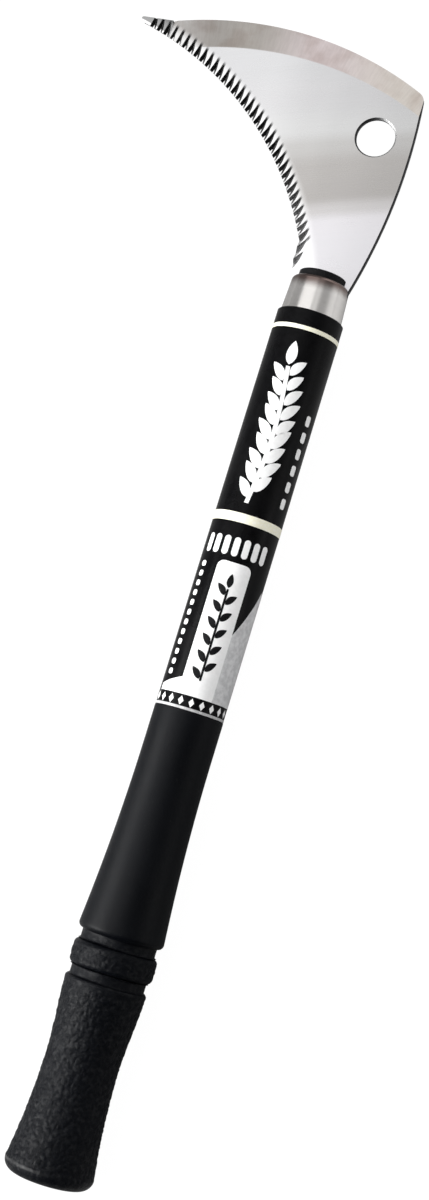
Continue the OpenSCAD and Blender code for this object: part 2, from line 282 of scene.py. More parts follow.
bladeSteel = {
    "bevelCentre": (-38.70, 278.27), "bevelRadius": 126.5, "bevelStart": -82.8, "bevelBlur": 0.3,
    "frontFrom": -0.9,   # only the rear face lies behind this depth
    "edgeCentre": (-129.01, 280.84), "edgeRadius": 130.0, "grooveReach": 5.8,
    "toothPitch": 3.0, "toothAngles": (26.13, 72.47), "toothLeans": (38.0, 13.0),
    "reflectionLean": 17.0,   # lean of the painted reflection bands from the handle's square
    # painted reflection: the face's tone in bands up the blade, and darker towards the right
    "reflectionBands": ((326, (0.885, 0.87, 0.90)), (333, (0.885, 0.865, 0.895)), (337.5, (0.70, 0.68, 0.68)),
        (342.5, (0.53, 0.51, 0.495)), (354, (0.54, 0.52, 0.505)), (362, (0.62, 0.61, 0.60)),
        (368, (0.72, 0.72, 0.72)), (380, (0.675, 0.67, 0.68)), (395, (0.65, 0.65, 0.66))),
    "reflectionSideTones": ((-60, 0.96), (-42, 0.96), (-20, 0.82), (-8, 0.77), (15, 0.69)),
    "waver": 4.0, "waverScale": 0.02,   # how far and how slowly the bands wander
    # painted reflection along the bevel: its tone by x
    "bevelReflectionTones": ((-83, (0.52, 0.51, 0.50)), (-74, (0.42, 0.40, 0.385)), (-66, (0.36, 0.34, 0.32)),
        (-52, (0.41, 0.385, 0.36)), (-25, (0.65, 0.58, 0.58)), (10, (0.65, 0.605, 0.56))),
    "tintColour": (0.84, 0.80, 0.78), "stainScale": 0.09, "pointShadeColour": (0.17, 0.17, 0.17),
    "rimShadeColour": (0.05, 0.05, 0.052), "rimLitColour": (0.42, 0.42, 0.42), "wornColour": (0.9, 0.9, 0.9),
    "grooveShadeColour": (0.012, 0.012, 0.012), "landHighlightColour": (0.95, 0.95, 0.95),
    "faceRoughness": 0.24, "bevelRoughness": 0.40, "rimRoughness": 0.25, "grooveShadeRoughness": 0.4,
    # length and width of the lines that the polishing belt, the grindstone and the shears leave
    "polishLines": (26.0, 0.16), "grindLines": (9.0, 0.3), "shearLines": (3.0, 0.2),
    "smudgeSize": 22.0, "wear": (0.3, 6.0, 0.25),
    "shadeStreaks": {"width": 1.5, "length": 6.4, "shift": 0.36, "slide": 0.06, "taper": 0.04, "blur": 0.15,
        "runOut": 0.7, "heelSpan": 0.35, "heelShorter": 1.35, "endBlur": 0.02,   # both angles in radians
        "paleFrom": 344.0, "paleTo": 368.0, "paleTone": 0.82},   # a little paler towards the heel
    "landHighlights": {"past": 0.8, "full": 2.0, "strength": 0.8, "pointStrength": 0.2, "lipFrom": 1.3, "lipTo": 0.7},
}


def makeBladeSteel(form):
    material, tree, shader = newMaterial("bladeSteel", Metallic=1.0)
    place = bodyPlace(tree)
    x, y, z = split(tree, place)
    facingX, _, facingZ = split(tree, put(tree, "TexCoord").outputs["Normal"])

    def polar(centre):
        # distance and angle from the centre of the edge's or the bevel's arc
        dx = calc(tree, "SUBTRACT", x, centre[0])
        dy = calc(tree, "SUBTRACT", y, centre[1])
        square = calc(tree, "ADD", times(tree, dx, dx), times(tree, dy, dy))
        return calc(tree, "SQRT", square), calc(tree, "ARCTAN2", dy, dx)

    def tones(value, stops):
        # a ramp whose stops are places in millimetres
        first, last = stops[0][0], stops[-1][0]
        share = put(tree, "MapRange", {"Value": value, "From Min": first, "From Max": last}).outputs[0]
        return ramp(tree, share, [((at - first) / (last - first), tone) for at, tone in stops], "EASE")

    # polished face: painted reflection bands, darker towards the right, with fine lines and smudges
    lean = math.radians(form["reflectionLean"])
    up = calc(tree, "SUBTRACT", times(tree, y, math.cos(lean)), times(tree, x, math.sin(lean)))
    side = calc(tree, "ADD", times(tree, x, math.cos(lean)), times(tree, y, math.sin(lean)))
    waver = calc(tree, "SUBTRACT", cloud(tree, place, form["waverScale"], 1.0), 0.5)
    bands = tones(calc(tree, "ADD", up, times(tree, waver, form["waver"])), form["reflectionBands"])
    bands = blend(tree, 1.0, bands, tones(x, form["reflectionSideTones"]), "MULTIPLY")
    lines = drawnLines(tree, join(tree, side, up, z), *form["polishLines"])
    marks = useGroup(tree, handling, {"Vector": place, "Size": form["smudgeSize"]})
    face = darken(tree, darken(tree, bands, lines, 0.985), marks["Smudge"], 0.97)

    # ground bevel: coarser lines across the edge, warmer and duller, with painted reflection that rises and
    # falls along its length
    bevelAt, bevelAngle = polar(form["bevelCentre"])
    onFront = calc(tree, "GREATER_THAN", z, form["frontFrom"])
    line, blur = form["bevelRadius"], form["bevelBlur"]
    onBevel = times(tree, rise(tree, bevelAt, line - blur, line + blur), onFront,
        calc(tree, "GREATER_THAN", x, form["bevelStart"]))
    arcAt = times(tree, bevelAngle, line)
    grind = drawnLines(tree, join(tree, bevelAt, arcAt, z), *form["grindLines"])
    stain = rise(tree, cloud(tree, place, form["stainScale"], 4.0), 0.42, 0.68)
    stain = blend(tree, stain, (1, 1, 1), form["tintColour"])
    # painted reflection: the bevel's tone changes along x
    bevel = blend(tree, 1.0, tones(x, form["bevelReflectionTones"]), stain, "MULTIPLY")
    # painted shade: the front of the point is painted dark
    onPoint = calc(tree, "LESS_THAN", x, form["bevelStart"])
    colour = blend(tree, times(tree, onPoint, onFront), face, form["pointShadeColour"])
    colour = blend(tree, onBevel, colour, darken(tree, bevel, grind, 0.9))

    # teeth: painted shade on the side of each groove that faces right, away from the light
    edgeAt, edgeAngle = polar(form["edgeCentre"])
    edge = form["edgeRadius"]
    reach = edge + form["grooveReach"]
    nearEdge = rise(tree, edgeAt, reach, reach - 1.0)
    slanted = times(tree, rise(tree, facingZ, 0.97, 0.9), rise(tree, facingZ, 0.25, 0.4))
    darkSide = rise(tree, facingX, -0.1, 0.1)
    fade = rise(tree, edgeAt, reach, edge + 2.0)
    grooveShade = times(tree, nearEdge, slanted, darkSide, calc(tree, "MULTIPLY_ADD", fade, 0.4, 0.6))

    # painted shade streaks: they follow the grooves' shaded sides and run out past their ends
    shadeStreaks = form["shadeStreaks"]
    first, last = (math.radians(angle) for angle in form["toothAngles"])
    heelLean, tipLean = (math.radians(angle) for angle in form["toothLeans"])
    lean = put(tree, "MapRange", {"Value": edgeAngle, "From Min": first, "From Max": last,
        "To Min": heelLean, "To Max": tipLean}).outputs[0]
    inward = calc(tree, "SUBTRACT", edgeAt, edge)
    along = times(tree, calc(tree, "SUBTRACT", edgeAngle, first), edge)
    along = calc(tree, "SUBTRACT", along, times(tree, inward, calc(tree, "TANGENT", lean)))
    turn = calc(tree, "FRACT", calc(tree, "MULTIPLY_ADD", along, 1 / form["toothPitch"], 0.5))
    offset = times(tree, calc(tree, "SUBTRACT", turn, 0.5), form["toothPitch"])
    shift = calc(tree, "MULTIPLY_ADD", inward, -shadeStreaks["slide"], shadeStreaks["shift"])
    offset = calc(tree, "ABSOLUTE", calc(tree, "SUBTRACT", offset, shift))
    half = calc(tree, "MULTIPLY_ADD", inward, -shadeStreaks["taper"], shadeStreaks["width"] / 2)
    shadeStreak = rise(tree, calc(tree, "SUBTRACT", offset, half), shadeStreaks["blur"], -shadeStreaks["blur"])
    shorter = rise(tree, edgeAngle, first, first + shadeStreaks["heelSpan"], shadeStreaks["heelShorter"], 1.0)
    length = shadeStreaks["length"]
    runOut = rise(tree, times(tree, inward, shorter), length, length * shadeStreaks["runOut"])
    onTeeth = times(tree, rise(tree, edgeAngle, first - shadeStreaks["endBlur"], first),
        rise(tree, edgeAngle, last + shadeStreaks["endBlur"], last))
    shadeStreak = times(tree, shadeStreak, runOut, onTeeth, calc(tree, "GREATER_THAN", facingZ, 0.25))
    pale = rise(tree, y, shadeStreaks["paleFrom"], shadeStreaks["paleTo"], shadeStreaks["paleTone"], 1.0)
    grooveShade = times(tree, calc(tree, "MAXIMUM", grooveShade, shadeStreak), pale)

    # painted highlight on the lands along the toothed edge, fainter on the point, and a painted highlight on
    # the point's lip
    landHighlights = form["landHighlights"]
    forward = calc(tree, "GREATER_THAN", facingZ, 0.3)
    landHighlight = times(tree, rise(tree, edgeAt, reach + landHighlights["past"], edge + landHighlights["full"]), forward)
    fainter = landHighlights["pointStrength"] - landHighlights["strength"]
    landHighlight = times(tree, landHighlight, calc(tree, "MULTIPLY_ADD", onPoint, fainter, landHighlights["strength"]))
    lip = times(tree, rise(tree, edgeAt, edge + landHighlights["lipFrom"], edge + landHighlights["lipTo"]), onPoint, forward)
    # the edge's painted highlight
    colour = blend(tree, calc(tree, "MAXIMUM", landHighlight, lip), colour, form["landHighlightColour"])
    # the grooves' painted shade
    colour = blend(tree, grooveShade, colour, form["grooveShadeColour"])

    # sheared rim: rough, painted dark as shade, with painted light where it faces left, and rubbed bright on
    # its corners
    rim = rise(tree, calc(tree, "ABSOLUTE", facingZ), 0.93, 0.8)
    rim = times(tree, rim, calc(tree, "SUBTRACT", 1.0, nearEdge))
    shear = drawnLines(tree, join(tree, z, calc(tree, "ADD", x, y)), *form["shearLines"])
    rimShading = blend(tree, rise(tree, facingX, 0.35, -0.35), form["rimShadeColour"], form["rimLitColour"])
    colour = blend(tree, rim, colour, darken(tree, rimShading, shear, 0.6))
    colour = rubEdges(tree, place, colour, form["wear"], form["wornColour"])

    rough = calc(tree, "MULTIPLY_ADD", lines, -0.04, form["faceRoughness"] + 0.03)
    rough = calc(tree, "MULTIPLY_ADD", marks["Smudge"], 0.05, rough)
    rough = calc(tree, "MULTIPLY_ADD", onBevel, form["bevelRoughness"] - form["faceRoughness"], rough)
    rough = calc(tree, "MULTIPLY_ADD", rim, form["rimRoughness"], rough)
    rough = calc(tree, "MULTIPLY_ADD", grooveShade, form["grooveShadeRoughness"], rough)
    relief = calc(tree, "ADD", times(tree, lines, 0.4), times(tree, onBevel, grind))
    dress(tree, shader, colour, rough, bumpNormal(tree, relief, 0.08, 0.01))
    return material


# Plated pipe and pin

pipeSteel = {
    "colour": (0.715, 0.695, 0.675), "roughness": 0.15, "turnRadius": 11.0, "turnLines": (26.0, 0.22),
    # the colour and span of a painted shade band at the pipe's top, under the plug
    "tintColour": (0.16, 0.12, 0.11), "shadeFrom": 319.8, "shadeTo": 323.6, "shadeWaver": 0.8,
    "speckColour": (0.3, 0.28, 0.25), "wornColour": (0.95, 0.95, 0.95),
    "smudgeSize": 9.0, "wear": (0.3, 3.0, 0.4),
}


def makePipeSteel(form):
    material, tree, shader = newMaterial("pipeSteel", Metallic=1.0)
    place = bodyPlace(tree)
    x, y, z = split(tree, place)
    aroundPipe = times(tree, calc(tree, "ARCTAN2", x, z), form["turnRadius"])
    rings = drawnLines(tree, join(tree, aroundPipe, y), *form["turnLines"])
    marks = useGroup(tree, handling, {"Vector": place, "Size": form["smudgeSize"]})
    tone = darken(tree, form["colour"], rings, 0.94)
    tone = blend(tree, times(tree, marks["Specks"], 0.5), tone, form["speckColour"])
    # painted shade: a dark brownish band at the pipe's top, under the plug, its lower edge wavering with the
    # smudges
    under = calc(tree, "MULTIPLY_ADD", marks["Smudge"], form["shadeWaver"], y)
    tone = blend(tree, rise(tree, under, form["shadeFrom"], form["shadeTo"]), tone, form["tintColour"])
    tone = rubEdges(tree, place, tone, form["wear"], form["wornColour"])
    rough = calc(tree, "MULTIPLY_ADD", rings, 0.05, form["roughness"])
    rough = calc(tree, "MULTIPLY_ADD", marks["Smudge"], 0.06, rough)
    dress(tree, shader, tone, rough, bumpNormal(tree, rings, 0.12, 0.01))
    return material


# Plastics: the plug's black resin, the end plug and the bands

plastics = {
    "blackResin": {"colour": (0.003, 0.003, 0.0035), "light": (0.009, 0.009, 0.010),
        "roughness": 0.45, "cell": 0.7, "depth": 0.05, "gloss": 0.1},
    "whitePlastic": {"colour": (0.70, 0.70, 0.66), "light": (0.80, 0.80, 0.77),
        "roughness": 0.45, "cell": 0.9, "depth": 0.03, "gloss": 0.5},
    "creamBand": {"colour": (0.97, 0.94, 0.74), "light": (1.0, 0.98, 0.84),
        "roughness": 0.32, "cell": 1.4, "depth": 0.01, "gloss": 0.5},
    "whiteBand": {"colour": (0.44, 0.44, 0.45), "light": (0.58, 0.58, 0.58),
        "roughness": 0.3, "cell": 1.4, "depth": 0.01, "gloss": 0.5},
}
plasticUse = {"smudgeSize": 12.0, "smudgeTone": 0.15, "smudgeRoughness": 0.1, "wear": (0.3, 3.0, 0.3)}


def makePlastic(name, form):
    material, tree, shader = newMaterial(name, Specular_IOR_Level=form["gloss"])
    place = bodyPlace(tree)
    grain = useGroup(tree, mouldGrain, {"Vector": place, "Cell": form["cell"]})
    smudge = useGroup(tree, handling, {"Vector": place, "Size": plasticUse["smudgeSize"]})["Smudge"]
    colour = blend(tree, grain["Tone"], form["colour"], form["light"])
    colour = blend(tree, times(tree, smudge, plasticUse["smudgeTone"]), colour, form["light"])
    colour = rubEdges(tree, place, colour, plasticUse["wear"], form["light"])
    rough = calc(tree, "MULTIPLY_ADD", smudge, plasticUse["smudgeRoughness"], form["roughness"])
    dress(tree, shader, colour, rough, bumpNormal(tree, grain["Height"], 0.5, form["depth"]))
    return material


# Printed film of the sleeve and its inks

films = {
    "sleeveFilm": {"colour": (0.0015, 0.0015, 0.0018), "light": (0.003, 0.003, 0.0035),
        "roughness": 0.24, "gloss": 0.07, "coat": 0.0},
    "whiteInk": {"colour": (0.92, 0.92, 0.92), "light": (0.98, 0.98, 0.98),
        "roughness": 0.4, "gloss": 0.4, "coat": 0.1},
    "silverInk": {"colour": (0.56, 0.56, 0.57), "light": (0.74, 0.74, 0.75),
        "roughness": 0.42, "gloss": 0.5, "coat": 0.1},
    "blackInk": {"colour": (0.004, 0.004, 0.0045), "light": (0.008, 0.008, 0.009),
        "roughness": 0.35, "gloss": 0.12, "coat": 0.0},
}
filmUse = {"grainSize": 1.6, "pinholes": 0.25, "pinholeColour": (0.02, 0.02, 0.02), "coatRoughness": 0.2,
    "smudgeSize": 15.0, "smudgeRoughness": 0.12}


def makeFilm(name, form):
    material, tree, shader = newMaterial(name, Specular_IOR_Level=form["gloss"], Coat_Weight=form["coat"],
        Coat_Roughness=filmUse["coatRoughness"])
    place = bodyPlace(tree)
    ink = useGroup(tree, printGrain, {"Vector": place, "Size": filmUse["grainSize"]})
    smudge = useGroup(tree, handling, {"Vector": place, "Size": filmUse["smudgeSize"]})["Smudge"]
    colour = blend(tree, ink["Tone"], form["colour"], form["light"])
    colour = blend(tree, times(tree, ink["Pinholes"], filmUse["pinholes"]), colour, filmUse["pinholeColour"])
    rough = calc(tree, "MULTIPLY_ADD", smudge, filmUse["smudgeRoughness"], form["roughness"])
    dress(tree, shader, colour, rough, bumpNormal(tree, ink["Tone"], 0.2, 0.01))
    return material


# Grip elastomer: charcoal, pebbled on the hand part and the collar, smoother above

gripRubber = {
    "colour": (0.0015, 0.0019, 0.0028), "light": (0.0038, 0.0045, 0.0065), "dust": (0.045, 0.045, 0.045),
    "roughness": 0.33, "gloss": (0.085, 0.15), "handDull": 0.022, "grainEnd": 84.0, "cell": 0.55,
    "mattCell": 0.25, "blotch": 1.7, "smudgeSize": 26.0, "smudgeTone": 0.25, "specks": 0.4,
    # the butt's painted highlight: its height, edge, side and tone
    "buttHighlightAt": 5.0, "buttHighlightEdge": (0.75, 0.15), "buttHighlightSide": (6.0, -9.0), "buttHighlightTone": 0.8,
    "wear": (0.8, 5.0, 0.12),
}


def makeGripRubber(form):
    material, tree, shader = newMaterial("gripElastomer")
    place = bodyPlace(tree)
    side, height, _ = split(tree, place)
    pebbled = rise(tree, height, form["grainEnd"] + 1.0, form["grainEnd"] - 1.0)
    pebbles = useGroup(tree, mouldGrain, {"Vector": place, "Cell": form["cell"]})
    matt = useGroup(tree, mouldGrain, {"Vector": place, "Cell": form["mattCell"]})
    marks = useGroup(tree, handling, {"Vector": place, "Size": form["smudgeSize"]})
    tone = times(tree, pebbles["Tone"], calc(tree, "MULTIPLY_ADD", pebbled, 0.7, 0.15))
    colour = blend(tree, tone, form["colour"], form["light"])
    colour = blend(tree, times(tree, marks["Smudge"], form["smudgeTone"]), colour, form["light"])
    blotches = times(tree, rise(tree, cloud(tree, place, 1 / form["blotch"]), 0.45, 0.65), pebbled)

    # painted highlight in the dust colour round the butt, strongest on its left
    buttHighlight = calc(tree, "ABSOLUTE", calc(tree, "SUBTRACT", height, form["buttHighlightAt"]))
    buttHighlight = times(tree, rise(tree, buttHighlight, *form["buttHighlightEdge"]), rise(tree, marks["Smudge"], -0.4, 0.6),
        rise(tree, side, *form["buttHighlightSide"]))
    colour = blend(tree, times(tree, buttHighlight, form["buttHighlightTone"]), colour, form["dust"])

    # the pebbled parts shine in blotches and are duller between them
    dull, shiny = form["gloss"]
    sheen = calc(tree, "MULTIPLY_ADD", blotches, shiny - dull, dull)
    sheen = calc(tree, "MULTIPLY_ADD", pebbled, -form["handDull"], sheen)
    sheen = calc(tree, "MULTIPLY_ADD", buttHighlight, shiny, sheen)
    tree.links.new(sheen, shader.inputs["Specular IOR Level"])
    colour = blend(tree, times(tree, marks["Specks"], form["specks"]), colour, form["dust"])
    colour = rubEdges(tree, place, colour, form["wear"], form["dust"])
    rough = calc(tree, "MULTIPLY_ADD", marks["Smudge"], 0.1, form["roughness"])
    relief = calc(tree, "ADD", times(tree, pebbles["Height"], pebbled), times(tree, matt["Height"], 0.25))
    dress(tree, shader, colour, rough, bumpNormal(tree, relief, 0.6, 0.08))
    return material


materials = {
    "bladeSteel": makeBladeSteel(bladeSteel),
    "pipeSteel": makePipeSteel(pipeSteel),
    "gripRubber": makeGripRubber(gripRubber),
}
for name, form in plastics.items():
    materials[name] = makePlastic(name, form)
for name, form in films.items():
    materials[name] = makeFilm(name, form)
print("materials made:", len(materials))


# Solids that keep their own mesh

carriedOver = {
    "blade": "bladeSteel", "handle_pipe": "pipeSteel", "tang_pin": "pipeSteel", "tang_plug": "blackResin",
    "pipe_end_plug": "whitePlastic", "label_sleeve": "sleeveFilm", "band_upper": "creamBand",
    "band_middle": "creamBand", "band_lower": "whiteBand", "grip": "gripRubber",
}
for node, name in carriedOver.items():
    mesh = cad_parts[node].data
    mesh.materials.clear()
    mesh.materials.append(materials[name])
print("materials laid on", len(carriedOver), "solids")


def addPiece(name, mesh, material):
    piece = bpy.data.objects.new(name, mesh)
    bpy.context.scene.collection.objects.link(piece)
    mesh.materials.append(materials[material])
    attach(piece, "root")
    return piece


def spread(start, end, count):
    # evenly spaced values, with both ends among them
    return [start + (end - start) * i / (count - 1) for i in range(count)]


def arcPoints(centre, radius, start, end, steps):
    angles = [math.radians(angle) for angle in spread(start, end, steps + 1)]
    return [(centre[0] + radius * math.cos(a), centre[1] + radius * math.sin(a)) for a in angles]


# Grip: one moulding, with a flared butt, a waisted hand part, a collar ring between two grooves and a taper

gripForm = {
    "length": 165.2, "buttWidth": 31.5, "buttRound": 4.4, "buttDome": 0.9, "buttFlat": 12.0, "buttFrom": -78,
    "waistWidth": 25.9, "waistAt": 42.0, "flareWidth": 28.8, "flareRound": 1.0,
    "collarWidth": 29.9, "collarLength": 9.0, "collarAt": 77.0, "collarRound": 2.2, "collarCrown": 0.15,
    "grooveGap": 3.5, "grooveWidth": 26.4, "grooveRound": 0.7,
    "shoulderWidth": 30.2, "shoulderRound": 2.0, "shoulderArc": 60,
    "topWidth": 24.6, "taperLength": 65.0, "lip": 0.25, "boreWidth": 22.3, "cavityAt": 6.35,
    "around": 232, "handSteps": 24, "taperSteps": 32, "fineRow": 0.42, "coarseRow": 2.0,
    "fineFrom": 3, "fineTo": 84, "fineRadius": 12,   # the pebbled part has the fine rows
    "grainFoot": 3.0, "grainHead": 1.5, "grainCollar": 1.2, "grainFade": 1.5,
    "creaseCell": 2.3, "creaseWidth": 0.45, "creaseDepth": 0.26, "warp": 0.35, "warpScale": 0.6, "seed": 4,
    "swellDepth": 0.10, "swellScale": 0.21,
    "seamAt": 104.0, "seamHeight": 0.05, "seamWidth": 0.35, "seamFoot": 1.0,   # the mould's parting line
}


def gripOutline(form):
    # radius and height, from the middle of the butt round the outside and back down the bore
    butt, waist, flare = form["buttWidth"] / 2, form["waistWidth"] / 2, form["flareWidth"] / 2
    collar, groove, shoulder = form["collarWidth"] / 2, form["grooveWidth"] / 2, form["shoulderWidth"] / 2
    top, bore = form["topWidth"] / 2, form["boreWidth"] / 2
    half = form["collarLength"] / 2
    lower, upper = form["collarAt"] - half, form["collarAt"] + half
    flareAt = lower - form["grooveGap"]
    shoulderAt = upper + form["grooveGap"]
    buttTop = form["buttDome"] + form["buttRound"]
    fillet, rounding, edge = form["grooveRound"], form["collarRound"], form["flareRound"]
    steps = form["handSteps"]
    points = [(0.0, 0.0), (form["buttFlat"] / 2, 0.0)]
    points += arcPoints((butt - form["buttRound"], buttTop), form["buttRound"], form["buttFrom"], 0, 18)
    for i in range(1, steps):
        s = 1 - i / steps
        points.append((waist + (butt - waist) * s * s, form["waistAt"] - (form["waistAt"] - buttTop) * s))
    for i in range(steps):
        s = i / steps
        points.append((waist + (flare - waist) * s * s * (3 - 2 * s),
            form["waistAt"] + (flareAt - edge - form["waistAt"]) * s))
    points += arcPoints((flare - edge, flareAt - edge), edge, 0, 90, 8)
    points += arcPoints((groove + fillet, flareAt + fillet), fillet, 270, 180, 6)
    points += arcPoints((groove + fillet, lower - fillet), fillet, 180, 90, 6)
    crown = collar - form["collarCrown"] - rounding
    points += arcPoints((crown, lower + rounding), rounding, -90, 0, 8)
    points.append((collar, form["collarAt"]))
    points += arcPoints((crown, upper - rounding), rounding, 0, 90, 8)
    points += arcPoints((groove + fillet, upper + fillet), fillet, 270, 180, 6)
    points += arcPoints((groove + fillet, shoulderAt - fillet), fillet, 180, 90, 6)
    rounding = form["shoulderRound"]
    arcFoot = rounding * math.sin(math.radians(form["shoulderArc"]))
    points += arcPoints((shoulder - rounding, shoulderAt + arcFoot), rounding, -form["shoulderArc"], 0, 10)
    for i in range(1, form["taperSteps"] + 1):
        s = i / form["taperSteps"]
        points.append((top + (shoulder - top) * (1 - s) ** 2,
            shoulderAt + rounding + form["taperLength"] * s))
    length, lip = form["length"], form["lip"]
    points += [(top, length - lip), (top - lip, length), (bore, length)]
    points += [(bore, form["cavityAt"]), (0.0, form["cavityAt"])]
    return points


def gripGrain(form, height):
    # how much of the pebbled relief there is at a height: all on the hand part and the collar
    half = form["collarLength"] / 2
    lower, upper = form["collarAt"] - half, form["collarAt"] + half
    spans = [(form["buttDome"] + form["grainFoot"], lower - form["grooveGap"] - form["grainHead"]),
        (lower + form["grainCollar"], upper - form["grainCollar"])]
    inside = max(min(height - low, high - height) for low, high in spans)
    return min(1.0, max(0.0, inside / form["grainFade"]))


def makeGrip(form):
    outline = gripOutline(form)
    bore = form["boreWidth"] / 2
    rows = [outline[0]]
    for start, end in zip(outline, outline[1:]):
        isFine = form["fineFrom"] < end[1] < form["fineTo"] and end[0] > form["fineRadius"]
        step = form["fineRow"] if isFine else form["coarseRow"]
        inBore = end[0] <= bore + 0.01
        pieces = 1 if inBore else max(1, math.ceil(math.dist(start, end) / step))
        rows += [(start[0] + (end[0] - start[0]) * i / pieces, start[1] + (end[1] - start[1]) * i / pieces)
            for i in range(1, pieces + 1)]
    around = form["around"]
    vertices, faces = [], []
    seam = math.radians(form["seamAt"])
    noise.seed_set(form["seed"])   # noise_vector would otherwise take its offsets from the clock
    for radius, height in rows[1:-1]:
        outside = radius > bore + 0.1
        share = gripGrain(form, height) if outside else 0.0
        for i in range(around):
            angle = 2 * math.pi * i / around
            r = radius
            if share > 0:
                spot = Vector((radius * math.sin(angle), height, radius * math.cos(angle)))
                warp = form["warp"] * noise.noise_vector(spot * form["warpScale"])
                near = noise.voronoi(spot / form["creaseCell"] + warp)[0]
                crease = 1 - min(1.0, (near[1] - near[0]) / form["creaseWidth"])
                swell = 0.5 + 0.5 * noise.noise(spot * form["swellScale"])
                r -= share * (form["creaseDepth"] * crease * crease + form["swellDepth"] * swell)
            if outside and height > form["seamFoot"]:
                away = abs(math.sin(angle - seam)) * radius
                r -= form["seamHeight"] * min(1.0, away / form["seamWidth"])
            vertices.append((r * math.sin(angle) * mm, height * mm, r * math.cos(angle) * mm))
    count = len(rows) - 2
    for row in range(count - 1):
        for i in range(around):
            j = (i + 1) % around
            low = row * around
            faces.append((low + i, low + j, low + around + j, low + around + i))
    first, last = len(vertices), len(vertices) + 1
    vertices += [(0, rows[0][1] * mm, 0), (0, rows[-1][1] * mm, 0)]
    for i in range(around):
        j = (i + 1) % around
        faces.append((first, j, i))
        faces.append((last, (count - 1) * around + i, (count - 1) * around + j))
    mesh = bpy.data.meshes.new("gripSkin")
    mesh.from_pydata(vertices, [], faces)
    work = bmesh.new()
    work.from_mesh(mesh)
    bmesh.ops.recalc_face_normals(work, faces=work.faces)
    work.to_mesh(mesh)
    work.free()
    mesh.polygons.foreach_set("use_smooth", [True] * len(mesh.polygons))
    mesh.set_sharp_from_angle(angle=math.radians(40))
    grip = addPiece("gripSkin", mesh, "gripRubber")
    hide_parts("grip")
    return grip


grip = makeGrip(gripForm)
print("grip made:", len(grip.data.polygons), "faces")


# Print on the sleeve: plain ornament of this object's own. Each shape is drawn flat, with its height up the
# handle and its place round the sleeve as an angle from the blade's front, and then laid on the film.

sleeveForm = {"radius": 12.2, "start": 166.2, "length": 145.2, "narrow": 0.15, "slice": 0.6, "inkLift": 0.05}
earForm = {
    "middle": 6.0, "bottom": 239.5, "top": 299.0, "stemWidth": 1.5, "stemSteps": 24, "bow": 2.0,
    "grains": 9, "grainLength": 9.2, "grainWidth": 3.9, "grainBend": 0.5, "stagger": 1.2, "lean": 37.0,
    "leanSpread": 5.0, "sizeSpread": (0.93, 1.05), "seed": 4,
}
panelForm = {
    "left": -15.0, "right": 44.0, "top": 218.4, "round": 2.4, "bottom": 170.2, "slopeTop": 176.0,
    "slopeBottom": 172.4, "slopeAngle": -58.0,
    "silverLow": 194.2, "silverHigh": 212.0, "silverPeak": 88.0, "silverEnd": 118.0, "silverDrop": 3.0,
}
sprigForm = {
    "middle": 14.5, "bottom": 176.0, "top": 209.0, "stemWidth": 0.8, "stemRound": 0.35, "leaves": 11,
    "firstLeaf": 176.6, "leafStep": 3.0, "leafLean": 42, "leafLength": 5.0, "leafWidth": 2.3, "leafBend": 0.3,
    "leafOut": 0.55, "topLeaf": 209.4, "lift": 0.04,
}
marksForm = {
    "pickets": 7, "picketFrom": -44.0, "picketTo": 58.0, "picketBottom": 220.4, "picketHeight": 6.8,
    "picketWidth": 2.3,
    "dashes": (
        {"angle": -44.5, "from": 177.0, "to": 216.0, "count": 12, "width": 2.2, "height": 2.0, "round": 0.7},
        {"angle": 67.0, "from": 243.5, "to": 274.0, "count": 6, "width": 2.4, "height": 3.8, "round": 0.8}),
    "lozenges": 9, "lozengeFrom": -60.0, "lozengeTo": 84.0, "lozengeAt": 168.0, "lozengeWidth": 2.0,
    "lozengeHeight": 3.2,
}
seamForm = {"middle": 194.0, "width": 3.2, "lift": 0.06,
    "spans": ((166.4, 232.0), (236.0, 303.4), (305.6, 310.8))}


def sleeveRadius(height):
    # the film shrinks a little towards its upper end
    form = sleeveForm
    return form["radius"] - form["narrow"] * max(0.0, (height - form["start"]) / form["length"]) ** 2


def roundSleeve(angle):
    # an angle from the blade's front as a length round the sleeve
    return math.radians(angle) * sleeveForm["radius"]


def roundBox(left, bottom, right, top, radius, corners=(True, True, True, True)):
    # corners go from the lower left anticlockwise, and a False one stays sharp
    spots = [(left, bottom, 180), (right, bottom, 270), (right, top, 0), (left, top, 90)]
    points = []
    for (x, y, start), isRound in zip(spots, corners):
        if not isRound:
            points.append((x, y))
            continue
        cx = x + radius if x == left else x - radius
        cy = y + radius if y == bottom else y - radius
        points += arcPoints((cx, cy), radius, start, start + 90, 5)
    return points


def leafShape(base, angle, length, width, bend=0.0):
    # a pointed leaf from base, at an angle from the handle's line
    direction = Vector((math.sin(math.radians(angle)), math.cos(math.radians(angle))))
    across = Vector((direction.y, -direction.x))
    left, right = [], []
    for i in range(1, 10):
        s = i / 10
        swell = math.sin(math.pi * s ** 0.85) ** 0.8 * width / 2
        middle = Vector(base) + direction * length * s + across * bend * math.sin(math.pi * s)
        left.append(tuple(middle - across * swell))
        right.append(tuple(middle + across * swell))
    tip = Vector(base) + direction * length
    return [tuple(base)] + right + [tuple(tip)] + left[::-1]


